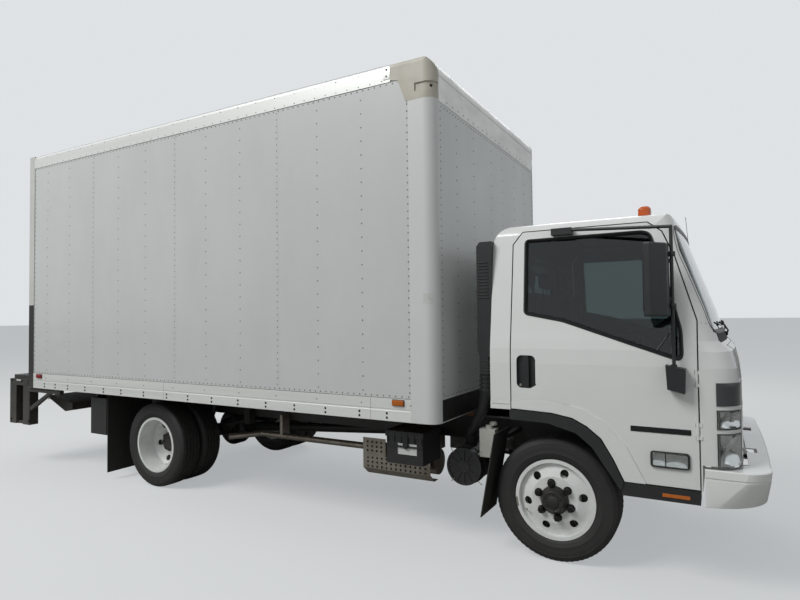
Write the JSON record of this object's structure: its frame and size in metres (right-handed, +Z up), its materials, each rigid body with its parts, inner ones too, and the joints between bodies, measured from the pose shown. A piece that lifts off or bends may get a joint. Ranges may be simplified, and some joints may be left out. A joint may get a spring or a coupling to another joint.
{
  "type": "box truck",
  "caption": "Cab-over light truck with a closed van body, tilting two-door cab, twin rear wheels and a folded lift gate under the tail.",
  "frame": {"origin": "on the ground in the middle of the overall length and width", "axes": "+X forward, +Y to the truck's left, +Z up"},
  "size_m": [7.3618, 2.5248, 3.436],
  "materials": {
    "chassis_black": "satin black chassis paint",
    "cast_black": "painted casting",
    "engine_grey": "oily cast metal",
    "exhaust_steel": "heat-dulled steel",
    "black_plastic": "grained black plastic",
    "tank_plastic": "milky plastic",
    "flap_rubber": "matt",
    "bumper_white": "gloss",
    "floor_wood": "worn hardwood boards",
    "body_skin": "scuffed semi-gloss",
    "rail_aluminium": "bright mill finish",
    "casting_cream": "cast surface, painted",
    "frame_paint": "white paint over steel",
    "door_panel": "semi-gloss",
    "lamp_amber": "clear lens colour",
    "gate_black": "worn black paint",
    "cab_white": "gloss",
    "lamp_clear": "clear lens",
    "cap_grey": "smoked gloss",
    "dash_plastic": "grained",
    "seat_cloth": "woven cloth",
    "wheel_white": "semi-gloss",
    "tyre": "matt rubber",
    "glass": "tinted"
  },
  "bodies": {
    "chassis": {"frame_rails": "chassis_black", "crossmembers": "chassis_black", "front_axle": "cast_black", "rear_axle": "cast_black", "leaf_springs": "cast_black", "engine": "engine_grey", "driveshaft": "chassis_black", "exhaust": "exhaust_steel", "battery_box": "black_plastic", "air_cleaner": "black_plastic", "coolant_tank": "tank_plastic", "fuel_tank": "chassis_black", "mudguards": "flap_rubber", "front_bumper": "bumper_white", "box_floor": "floor_wood", "side_walls": "body_skin", "front_wall": "body_skin", "box_roof": "body_skin", "box_rails": "rail_aluminium", "corner_posts": "rail_aluminium", "corner_castings": "casting_cream", "rear_frame": "frame_paint", "roll_door": "door_panel", "marker_lamps": "lamp_amber", "lift_deck": "gate_black", "step_frames": "gate_black", "lift_mount": "gate_black", "pump_box": "black_plastic"},
    "cab": {"cab_shell": "cab_white", "cab_windows": "glass", "headlamps": "lamp_clear", "lamp_caps": "cap_grey", "grille": "black_plastic", "arch_trims": "black_plastic", "dashboard": "dash_plastic", "seats": "seat_cloth", "snorkel": "black_plastic", "roof_lamps": "lamp_amber"},
    "steering_wheel": {"steering_wheel": "dash_plastic"},
    "door_right": {"door_right": "cab_white", "handle_right": "black_plastic", "door_glass_right": "glass", "mirror_right": "black_plastic"},
    "door_left": {"door_left": "cab_white", "handle_left": "black_plastic", "door_glass_left": "glass", "mirror_left": "black_plastic"},
    "knuckle_right": {"knuckle_right": "cast_black"},
    "knuckle_left": {"knuckle_left": "cast_black"},
    "front_wheel_right": {"front_wheel_right": "wheel_white", "front_tyre_right": "tyre"},
    "front_wheel_left": {"front_wheel_left": "wheel_white", "front_tyre_left": "tyre"},
    "rear_wheels_right": {"rear_wheels_right": "wheel_white", "rear_tyres_right": "tyre"},
    "rear_wheels_left": {"rear_wheels_left": "wheel_white", "rear_tyres_left": "tyre"},
    "lift_arms": {"lift_arms": "gate_black"},
    "lift_platform": {"lift_platform": "gate_black"}
  },
  "joints": [
    {"name": "cab_tilt", "type": "hinge", "parent": "chassis", "child": "cab", "pos_m": [3.554, 0, 0.7], "axis": [0, 1, 0], "range_deg": [0, 45]},
    {"name": "door_right_swing", "type": "hinge", "parent": "cab", "child": "door_right", "pos_m": [3.307, -1.03, 1.3], "axis": [0, 0, 1], "range_deg": [0, 70]},
    {"name": "door_left_swing", "type": "hinge", "parent": "cab", "child": "door_left", "pos_m": [3.307, 1.03, 1.3], "axis": [0, 0, -1], "range_deg": [0, 70]},
    {"name": "steer_right", "type": "hinge", "parent": "chassis", "child": "knuckle_right", "pos_m": [2.459, -0.745, 0.402], "axis": [0, 0, 1], "range_deg": [-35, 35]},
    {"name": "steer_left", "type": "hinge", "parent": "chassis", "child": "knuckle_left", "pos_m": [2.459, 0.745, 0.402], "axis": [0, 0, 1], "range_deg": [-35, 35]},
    {"name": "steering_wheel_turn", "type": "hinge", "parent": "cab", "child": "steering_wheel", "pos_m": [2.979, 0.56, 1.5], "axis": [0.6157, 0, -0.788], "range_deg": [-640, 640]},
    {"name": "front_wheel_right_spin", "type": "hinge", "parent": "knuckle_right", "child": "front_wheel_right", "pos_m": [2.459, -0.8325, 0.402], "axis": [0, 1, 0], "continuous": true},
    {"name": "rear_wheels_right_spin", "type": "hinge", "parent": "chassis", "child": "rear_wheels_right", "pos_m": [-1.351, -0.825, 0.402], "axis": [0, 1, 0], "continuous": true},
    {"name": "front_wheel_left_spin", "type": "hinge", "parent": "knuckle_left", "child": "front_wheel_left", "pos_m": [2.459, 0.8325, 0.402], "axis": [0, 1, 0], "continuous": true},
    {"name": "rear_wheels_left_spin", "type": "hinge", "parent": "chassis", "child": "rear_wheels_left", "pos_m": [-1.351, 0.825, 0.402], "axis": [0, 1, 0], "continuous": true},
    {"name": "lift_lower", "type": "hinge", "parent": "chassis", "child": "lift_arms", "pos_m": [-2.161, 0, 0.572], "axis": [0, -1, 0], "range_deg": [0, 64]},
    {"name": "platform_level", "type": "hinge", "parent": "lift_arms", "child": "lift_platform", "pos_m": [-2.741, 0, 0.668], "axis": [0, -1, 0], "range_deg": [-64, 0]}
  ],
  "couplings": [
    {"joint": "steer_left", "follows": "steer_right", "ratio": 1},
    {"joint": "steering_wheel_turn", "follows": "steer_right", "ratio": -18},
    {"joint": "platform_level", "follows": "lift_lower", "ratio": -1}
  ]
}
